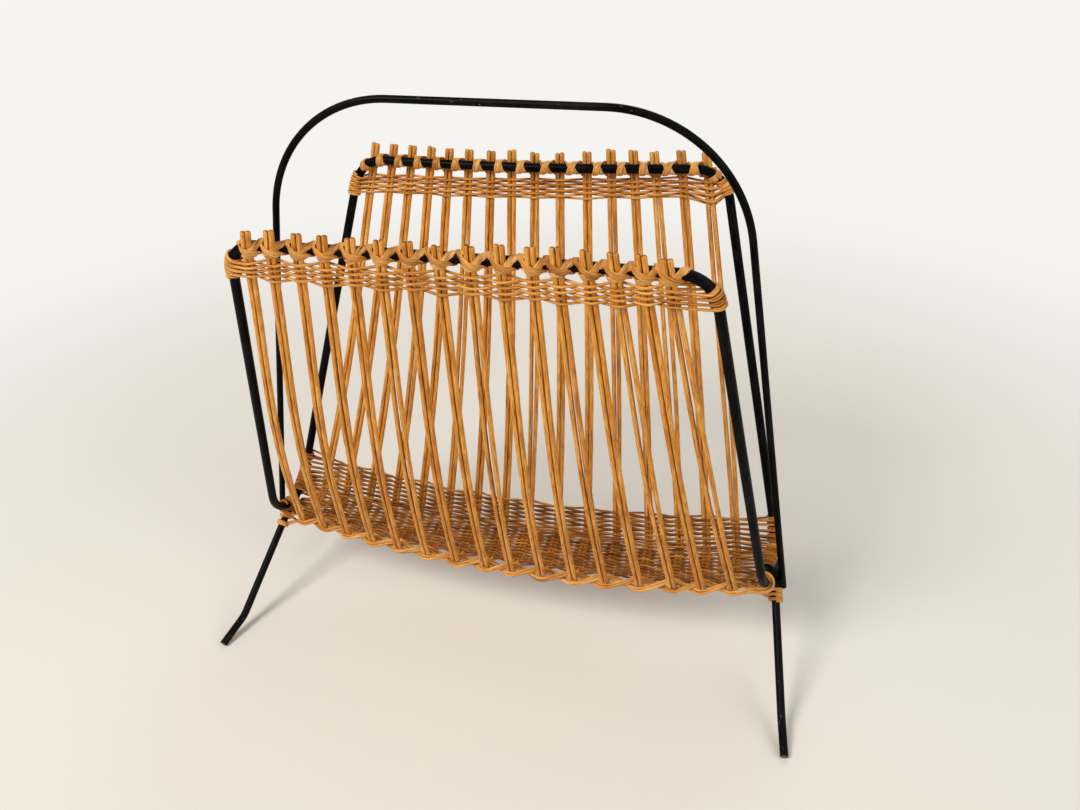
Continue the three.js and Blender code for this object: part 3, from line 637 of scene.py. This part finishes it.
def cane(i, hand, word):
    shift = hand * (CANE_SHIFT - CANE_INSET)
    places = front_x[i] + shift, floor_x[i] + shift, back_x[i] + shift
    stubs = front_stubs[i] + rng.uniform(-0.6, 0.5), back_stubs[i] + rng.uniform(-0.6, 0.5)
    parting = hand * partings.get(i, LEAST_PARTING)
    path = smooth(resampled(trough_path(*places, stubs, parting), 5), 2.0)
    radius = cane_radius(lengths(path))
    towards_twin = 0 if hand < 0 else math.pi
    name = f"cane_{i + 1:02d}_{word}"
    build = Build()
    # The side of the cane that faces its twin gets a painted line of shade
    build.tube(
        path, radius, 14, tone=rng.normal(0, 0.03), rounding=0.45, end_tone=-0.16, twin_shade=towards_twin
    )
    build.piece(name + "_rattan", CANE_LOOK, "round_cane", name)


for pair in range(PAIRS):
    cane(pair, -1, "left")
    cane(pair, 1, "right")


# Weaving. Places are counted in pairs: three at each pair and three between one pair and the next.
# A column is the way a cane would run at a place.

STRAND = 0.82
BESIDE = 0.1
PLACES = np.sort(
    np.concatenate(
        [np.arange(PAIRS) + share for share in (-BESIDE, 0, BESIDE)]
        + [np.arange(PAIRS - 1) + share for share in (0.3, 0.5, 0.7)]
    )
)


def column(place):
    past = CANE_SHIFT * (place - np.clip(place, 0, PAIRS - 1)) / BESIDE
    places = [np.interp(place, range(PAIRS), xs) + past for xs in (front_x, floor_x, back_x)]
    return resampled(trough_path(*places), 0.8)


COLUMNS = [column(place) for place in PLACES]
MIDDLES = np.array([lengths(path)[np.argmin(np.abs(path[:, 1]))] for path in COLUMNS])
TOTALS = np.array([lengths(path)[-1] for path in COLUMNS])


def sheet(distances):
    """Points and outward normals of the trough, one for each column, at distances along it."""
    points, normals = [], []
    for path, distance in zip(COLUMNS, distances):
        behind, here, ahead = at_length(path, [distance - 1.5, distance, distance + 1.5])
        points.append(here)
        normals.append(unit(np.cross(ahead - behind, ALONG)))
    return np.array(points), np.array(normals)


def swing(phase):
    """How far a strand is before (+1) or behind (-1) the pairs, and how far it is to one side."""
    whole = np.round(PLACES)
    part = np.clip((np.abs(PLACES - whole) - BESIDE) / (0.5 - BESIDE), 0, 1)
    sign = np.where((whole + phase) % 2 == 0, 1, -1)
    side = np.where((np.floor(PLACES + 1e-9) + phase) % 2 == 0, 1, -1)
    return sign * (1 - part), side * np.sin(math.pi * part / 2)


def nearest_length(rod, point):
    """The distance along a rod at which it comes nearest to a point."""
    dense = resampled(rod, 0.5)
    return lengths(dense)[np.argmin(np.linalg.norm(dense - point, axis=1))]


def loop_round(rod, start, end, hand, outward, radius, begin, turn):
    """Turns round a rod between two distances along it.

    Angles are counted from the side that faces away from the basket (0) to the outer side
    (a quarter turn).
    """
    count = max(4, round(abs(turn) / math.radians(24))) + 1
    where = np.linspace(start, end, count)
    centre = at_length(rod, where)
    ahead = at_length(rod, where + 0.5) - at_length(rod, where - 0.5)
    points = []
    for k in range(count):
        t = unit(ahead[k])
        far = unit(hand * ALONG - t * np.dot(hand * ALONG, t))
        out = np.cross(t, far)
        if np.dot(out, outward) < 0:
            out = -out
        angle = begin + turn * k / (count - 1)
        points.append(centre[k] + radius * (math.cos(angle) * far + math.sin(angle) * out))
    return points


def inner_to_outer(rod, start, end, hand, outward, radius):
    """One and a half turns, from the inner side over the far side to the outer side."""
    return loop_round(rod, start, end, hand, outward, radius, -math.pi / 2, 3 * math.pi)


def strand_tone(path):
    """Slow changes of tone along one long strand."""
    run = lengths(path)
    stretch = 90
    knots = np.arange(0, run[-1] + stretch, stretch)
    return np.interp(run, knots, rng.normal(0, 0.055, len(knots)))


def plain_weave(build, levels, ends, tone=0.0, radius=STRAND):
    """One strand to and fro through the pairs.

    levels gives each pass's distances along the columns, and ends the loops that lead from each
    pass to the next one, with one more list before the first pass and one after the last.
    """
    points = [*ends[0]]
    for r, distances in enumerate(levels):
        at, normals = sheet(distances)
        before = swing(r)[0]
        row = at + normals * (before * (CANE / 2 + radius))[:, None]
        points += [*(row if r % 2 == 0 else row[::-1]), *ends[r + 1]]
    path = smooth(np.array(points), 1.1)
    width = radius * (1 + 0.05 * np.sin(lengths(path) / 9 + rng.uniform(0, 6)))
    build.tube(path, width, 7, tone=strand_tone(path) + tone)


RIM_PASSES = 8


def rim_weave(name, panel, rod, base, pitch, places):
    """Passes below the rail that turn back round the frame's sides.

    base is how far along the canes the first pass lies, and pitch the way from one pass to the
    next, both for each pair. places gives, for the left and the right side, the points of the rod
    where its loops start and end.
    """
    build = Build()
    base, pitch = [np.interp(PLACES, range(PAIRS), v) for v in (base, pitch)]
    levels = []
    for r in range(RIM_PASSES):
        uneven = np.interp(PLACES, range(PAIRS), rng.normal(0, 0.16, PAIRS))
        distance = base + pitch * r + uneven
        levels.append(distance if panel is FRONT else TOTALS - distance)
    loops = {-1: RIM_PASSES // 2 + 1, 1: RIM_PASSES // 2}
    bounds = {hand: [nearest_length(rod, vec(*p)) for p in places[hand]] for hand in (-1, 1)}
    outward, radius = slope(panel)[1], FRAME_ROD / 2 + STRAND + 0.05
    ends = []
    for r in range(-1, RIM_PASSES):
        hand = -1 if r % 2 else 1
        first, last = bounds[hand]
        step = (last - first) / loops[hand]
        start = first + step * ((r + 1) // 2)
        ends.append(inner_to_outer(rod, start, start + step * 0.55, hand, outward, radius))
    plain_weave(build, levels, ends)
    build.piece(name + "_strands", WEAVE_LOOK, "split_cane", name)


rim_weave(
    "front_rim_weave", FRONT, FRONT_FRAME,
    [7.8, 6.8, *[6.9] * 11, 6.2, 5.4, 4.7],
    [1.52, 1.8, *[1.78] * 11, 1.72, 1.67, 1.62],
    {
        -1: [(-133.3, -76.2, 315.7), (-138.6, -73.3, 301)],
        1: [(133, -76.2, 319.8), (137.8, -74, 308.6)],
    },
)
rim_weave(
    "back_rim_weave", BACK, BACK_FRAME,
    [11.2, 10.8, *np.linspace(10.3, 6.4, 12), 5.8, 8.7],
    [*[1.7] * 15, 2.1],
    {
        -1: [(-127.8, 79, 315), (-133, 76, 299.6)],
        1: [(124.8, 80, 324), (130.3, 79, 315)],
    },
)


# Floor weave: its first and last row, counted from the middle plane towards the back, and its
# strand. Near the middle plane no rod is in reach, so the rows there end in short turns.
FLOOR_FRONT_ROW, FLOOR_BACK_ROW, FLOOR_PITCH, FLOOR_STRAND = -13.5, 47.5, 1.75, 0.88
NO_ROD_WITHIN = 7
SHORT_TURN = [(10, -1.2), (13, 0), (10, 1.2)]


def floor_end(r, row):
    """The turn at the end of a row: right for the even rows, left for the odd ones."""
    hand = -1 if r % 2 else 1
    k = -1 if hand > 0 else 0
    at, normals = sheet(MIDDLES + row)
    edge, outward = at[k], normals[k]
    if abs(row) < NO_ROD_WITHIN:
        return [edge + hand * ALONG * reach + outward * off for reach, off in SHORT_TURN]
    rod = BACK_FRAME if row > 0 else FRONT_FRAME
    middle = nearest_length(rod, edge + hand * ALONG * 14)
    reach = math.copysign(0.8 * FLOOR_PITCH, middle - lengths(rod)[-1] / 2) * (-1 if row > 0 else 1)
    return inner_to_outer(rod, middle - reach, middle + reach, hand, outward, FRAME_ROD / 2 + STRAND)


def floor_weave():
    build = Build()
    rows = np.arange(FLOOR_FRONT_ROW, FLOOR_BACK_ROW, FLOOR_PITCH)
    levels = []
    for row in rows:
        uneven = np.interp(PLACES, range(PAIRS), rng.normal(0, 0.12, PAIRS))
        levels.append(MIDDLES + row + uneven)
    ends = [floor_end(-1, rows[0] - FLOOR_PITCH)]
    ends += [floor_end(r, row + FLOOR_PITCH / 2) for r, row in enumerate(rows)]
    # The floor's strands are painted darker than the other weaving, as painted shade inside the basket
    plain_weave(build, levels, ends, tone=-0.14, radius=FLOOR_STRAND)
    build.piece("floor_weave_strands", WEAVE_LOOK, "split_cane", "floor_weave")


floor_weave()


def leg_length(leg, height):
    """The distance along a leg, from its front toe, at which it has a height."""
    dense = resampled(leg, 0.25)
    front = dense[: np.argmax(dense[:, 2])]
    return lengths(dense)[np.argmin(np.abs(front[:, 2] - height))]


# Braid: a strand's radius, how far the three strands of a bundle lie from its middle, where the
# bundle's middle lies off the floor's edge, how far it swings out before a pair and aside between
# two pairs, and how many pairs one twist takes
BRAID_STRAND, BUNDLE = 1.05, 1.22
BRAID_INSET, BRAID_OUT, BRAID_ASIDE, TWIST_PAIRS = -1.6, 3.35, 1.8, 4.5
BRAID_OUTWARD, BRAID_ACROSS = vec(0, -0.6, -0.8), vec(0, -0.8, 0.6)
# The strands of the one bundle fan out round the right heel, between two distances from the
# frame's end, and turn round the left leg. Those of the other turn round both legs, but for the
# middle one, which passes under the left heel.
HOOK_FROM, HOOK_TO, HOOK_STEP, HOOK_FAN = 25, 8, 1.2, 1.0
RIGHT_TIE_HEIGHT, RIGHT_TIE_STEP = 63.1, 2.1
LEFT_TIE_HEIGHT, LEFT_TIE_STEP = 63.6, 1.8
LOW_TIE_HEIGHT, LOW_TIE_STEP = 58.4, 0.9
LEFT_HEEL_FROM, LEFT_HEEL_TO = 17, 19
TIE_RADIUS = LEG_ROD / 2 + BRAID_STRAND
HEEL_RADIUS = FRAME_ROD / 2 + BRAID_STRAND


def leg_tie(leg, hand, start, end, radius, turns):
    """Turns of a braid strand round a leg, from its front."""
    front = vec(0, -1, -1)
    return loop_round(leg, start, end, hand, front, radius, math.pi / 2, -2 * math.pi * turns)


def braid_ends(phase, j):
    """The left and the right end of strand j (-1, 0 or 1) of a bundle."""
    under_heel = vec(0, -0.8, -1)
    if phase == 1:
        front_end = lengths(FRONT_FRAME)[-1]
        hook = [front_end - back - HOOK_STEP * j for back in (HOOK_FROM, HOOK_TO)]
        fan = HEEL_RADIUS + HOOK_FAN * (j + 1)
        right = loop_round(FRONT_FRAME, *hook, 1, under_heel, fan, math.pi / 2, -1.5 * math.pi)
        spot = leg_length(LEFT, LEFT_TIE_HEIGHT + LEFT_TIE_STEP * j)
        left = leg_tie(LEFT, -1, spot + 1, spot - 1, TIE_RADIUS, 1.5)
        return left, right
    spot = leg_length(RIGHT, RIGHT_TIE_HEIGHT + RIGHT_TIE_STEP * j)
    right = leg_tie(RIGHT, 1, spot + 1.1, spot - 1.1, TIE_RADIUS + 0.3, 1.5)
    if j == 0:
        heel = LEFT_HEEL_FROM, LEFT_HEEL_TO
        left = loop_round(FRONT_FRAME, *heel, -1, under_heel, HEEL_RADIUS, math.pi / 2, -1.35 * math.pi)
    else:
        spot = leg_length(LEFT, LOW_TIE_HEIGHT) + LOW_TIE_STEP * j
        left = leg_tie(LEFT, -1, spot, spot - 0.5, TIE_RADIUS, 1)
    return left, right


def bottom_braid():
    """Two bundles of three strands along the front edge, tied to the legs and the heels."""
    build = Build()
    low_places = [path[np.argmin(np.abs(path[:, 1]))][0] for path in COLUMNS]
    edges = np.array([floor_edge(FRONT, x) for x in low_places])
    for phase in (0, 1):
        before, beside = swing(phase)
        for j in (-1, 0, 1):
            twist = 2 * math.pi * (j / 3 + PLACES / TWIST_PAIRS)
            outward = BRAID_INSET + BRAID_OUT * before + BUNDLE * np.cos(twist)
            across = BRAID_ASIDE * beside + BUNDLE * np.sin(twist)
            points = edges + np.outer(outward, BRAID_OUTWARD) + np.outer(across, BRAID_ACROSS)
            left, right = braid_ends(phase, j)
            path = smooth(np.array([*left[::-1], *points, *right]), 1.0)
            build.tube(path, BRAID_STRAND, 8, tone=strand_tone(path) + 0.02)
    build.piece("front_bottom_braid_strands", WEAVE_LOOK, "split_cane", "front_bottom_braid")


bottom_braid()


# Lashings. A crossing's points are (along, out, down) from the rail's axis at the pair. From the
# last point the peel goes round the rail at a radius, from the angle leave to the angle arrive,
# counted from the outer side downwards, to the next pair's first point.

OVER = dict(
    crossing=[
        (-6.4, 1.1, -4.1), (-5.4, 3.2, -3.0), (-3.4, 5.6, -1.9), (-1.0, 7.0, -0.9),
        (1.4, 7.3, -0.1), (3.5, 6.6, 0.8), (4.9, 4.8, 1.8), (5.7, 2.2, 3.2),
    ],
    radius=4.2, leave=math.radians(55), arrive=math.radians(285), width=4.3,
)
UNDER = dict(
    crossing=[
        (-4.6, 1.7, 3.0), (-4.3, 3.9, 3.1), (-3.2, 5.8, 2.9), (-1.0, 6.7, 2.2), (1.4, 6.8, 1.0),
        (3.0, 6.1, -0.4), (4.0, 4.8, -1.7), (5.0, 3.3, -2.8), (6.4, 1.2, -3.8),
    ],
    radius=3.5, leave=math.radians(-72), arrive=math.radians(-300), width=4.5,
)
PEEL_THICKNESS, PEEL_CROWN = 0.75, 0.3

# A lashing begins nearer to its first pair than it crosses the others, and its two ends run on a
# little along the rail and are tucked in behind it
FIRST_REACH, START_RUN, END_RUN, START_TUCK = -4.9, 2.6, 2.4, 0.5


def lashing(name, panel, rod, xs, crossing, radius, leave, arrive, width):
    """A flat strip that crosses each pair on a slant and goes round the rail between two pairs."""
    build = Build()
    out = slope(panel)[1]
    dense = resampled(rod, 0.5)
    run = lengths(dense)
    pair_at = [nearest_length(rod, rail_point(panel, x)) for x in xs]
    points, normals = [], []

    def add(along, outward, downward, normal):
        centre, next_centre = [
            np.array([np.interp(where, run, dense[:, k]) for k in range(3)]) for where in (along, along + 1)
        ]
        t = unit(next_centre - centre)
        down = -panel["side"] * np.cross(t, out)
        points.append(centre + out * outward + down * downward)
        normals.append(unit(t * normal[0] + out * normal[1] + down * normal[2]))

    def turn(start, end, begin, finish):
        steps = max(3, round(abs(finish - begin) / math.radians(28)))
        for share in np.arange(steps + 1) / steps:
            angle = begin + (finish - begin) * share
            c, s = math.cos(angle), math.sin(angle)
            add(start + (end - start) * share, radius * c, radius * s, (0, c, s))

    inside = math.copysign(math.pi, arrive - leave)
    first = pair_at[0] + max(crossing[0][0], FIRST_REACH)
    entry = arrive - 2 * inside
    turn(first - START_RUN, first, -inside - math.copysign(START_TUCK, inside), entry)
    for i, at in enumerate(pair_at):
        aside, lower = rng.normal(0, 0.25), rng.uniform(-0.4, 0.7)
        for along, outward, downward in crossing[1:-1]:
            if i == 0:
                along = max(along, FIRST_REACH)
            normal = (0.45 * along, outward - 2.5, 0.35 * downward)
            add(at + along + aside, outward, downward + lower, normal)
        start = at + crossing[-1][0]
        if i + 1 < len(pair_at):
            turn(start, pair_at[i + 1] + crossing[0][0], leave, arrive)
        else:
            turn(start, start + END_RUN, leave, inside)
    knots = lengths(np.array(points))
    path = smooth(np.array(points), 0.9)
    where, share = np.linspace(0, 1, len(path)), knots / knots[-1]
    n = np.stack([np.interp(where, share, np.array(normals)[:, k]) for k in range(3)], axis=-1)
    n /= np.linalg.norm(n, axis=1, keepdims=True)
    build.strip(path, n, width, PEEL_THICKNESS, strand_tone(path), PEEL_CROWN)
    build.piece(name + "_peel", PEEL_LOOK, "flat_peel", name)


lashing("front_lashing_under", FRONT, FRONT_FRAME, front_x, **UNDER)
lashing("front_lashing_over", FRONT, FRONT_FRAME, front_x, **OVER)
lashing("back_lashing_under", BACK, BACK_FRAME, back_x, **UNDER)
lashing("back_lashing_over", BACK, BACK_FRAME, back_x, **OVER)


# Stage


WHITE = (0.92, 0.905, 0.88, 1)
FLOOR_HALF, FADE_NEAR, FADE_FAR = 6.0, 0.36, 1.05


def floor_material():
    """Pale, and fading away from the basket into the white of the background."""
    m = Nodes("pale_floor")
    m.set(Base_Color=(0.8, 0.755, 0.68, 1), Roughness=0.75, Specular_IOR_Level=0.2)
    geometry = m.tree.nodes.new("ShaderNodeNewGeometry")
    distance = m.tree.nodes.new("ShaderNodeVectorMath")
    distance.operation = "LENGTH"
    m.tree.links.new(geometry.outputs["Position"], distance.inputs[0])
    fade = m.add("ShaderNodeMapRange", Value=distance.outputs["Value"])
    fade.interpolation_type = "SMOOTHSTEP"
    fade.inputs["From Min"].default_value = FADE_NEAR
    fade.inputs["From Max"].default_value = FADE_FAR
    ray = m.tree.nodes.new("ShaderNodeLightPath")
    white = m.add("ShaderNodeEmission", Color=WHITE, Strength=1.0)
    blend = m.tree.nodes.new("ShaderNodeMixShader")
    share = m.math("MULTIPLY", fade.outputs["Result"], ray.outputs["Is Camera Ray"])
    m.tree.links.new(share, blend.inputs[0])
    m.tree.links.new(m.shader.outputs[0], blend.inputs[1])
    m.tree.links.new(white.outputs[0], blend.inputs[2])
    m.tree.links.new(blend.outputs[0], m.tree.nodes["Material Output"].inputs["Surface"])
    return m.material


def stage():
    corners = [(x * FLOOR_HALF, y * FLOOR_HALF, 0) for x, y in ((-1, -1), (1, -1), (1, 1), (-1, 1))]
    mesh = bpy.data.meshes.new("floor")
    mesh.from_pydata(corners, [], [(0, 1, 2, 3)])
    mesh.materials.append(floor_material())
    floor = bpy.data.objects.new("floor", mesh)
    bpy.context.scene.collection.objects.link(floor)


def facing(right, up, back, place):
    """The matrix of a lamp or camera that looks away from its back."""
    return Matrix([[right[k], up[k], back[k], place[k]] for k in range(3)] + [[0, 0, 0, 1]])


def area_light(name, place, target, size, power, colour):
    data = bpy.data.lights.new(name, "AREA")
    data.shape = "DISK"
    data.size = size
    data.energy = power
    data.color = colour
    lamp = bpy.data.objects.new(name, data)
    bpy.context.scene.collection.objects.link(lamp)
    back = unit(np.array(place, float) - np.array(target, float))
    right = unit(np.cross(UP, back))
    up = np.cross(back, right)
    lamp.matrix_world = facing(right, up, back, place)


def world():
    """Soft light from all round, which the camera sees as white."""
    scene_world = bpy.data.worlds.new("soft_white")
    scene_world.use_nodes = True
    tree = scene_world.node_tree
    tree.nodes.clear()
    out = tree.nodes.new("ShaderNodeOutputWorld")
    mix = tree.nodes.new("ShaderNodeMixShader")
    path = tree.nodes.new("ShaderNodeLightPath")
    light = tree.nodes.new("ShaderNodeBackground")
    seen = tree.nodes.new("ShaderNodeBackground")
    light.inputs["Color"].default_value = (1.0, 0.99, 0.97, 1)
    light.inputs["Strength"].default_value = 0.34
    seen.inputs["Color"].default_value = WHITE
    seen.inputs["Strength"].default_value = 1.0
    tree.links.new(path.outputs["Is Camera Ray"], mix.inputs[0])
    tree.links.new(light.outputs[0], mix.inputs[1])
    tree.links.new(seen.outputs[0], mix.inputs[2])
    tree.links.new(mix.outputs[0], out.inputs["Surface"])
    bpy.context.scene.world = scene_world


def camera():
    """The photo's camera, as it was fitted to the outlines of the rods."""
    yaw, pitch, roll = -0.27393, 0.56147, -0.02997
    focal_px, width_px = 869.4, 1080
    forward = vec(math.sin(yaw) * math.cos(pitch), math.cos(yaw) * math.cos(pitch), -math.sin(pitch))
    right = vec(math.cos(yaw), -math.sin(yaw), 0)
    up = np.cross(right, forward)
    across = right * math.cos(roll) + up * math.sin(roll)
    upward = -right * math.sin(roll) + up * math.cos(roll)
    place = vec(156.31, -477.15, 501.67) * MM
    data = bpy.data.cameras.new("camera")
    data.sensor_fit = "HORIZONTAL"
    data.sensor_width = 36
    data.lens = focal_px / width_px * 36
    data.clip_start = 0.01
    cam = bpy.data.objects.new("camera", data)
    bpy.context.scene.collection.objects.link(cam)
    cam.matrix_world = facing(across, upward, -forward, place)
    bpy.context.scene.camera = cam


stage()
world()
camera()
area_light("key", (-1.0, -1.4, 1.9), (0, 0, 0.2), 0.9, 41, (1.0, 0.985, 0.96))
area_light("fill", (1.5, -0.6, 1.2), (0, 0, 0.2), 1.4, 11, (0.97, 0.985, 1.0))
area_light("rear", (0.2, 1.6, 1.5), (0, 0, 0.2), 1.4, 9, (1.0, 0.99, 0.97))
bpy.context.scene.view_settings.view_transform = "Standard"
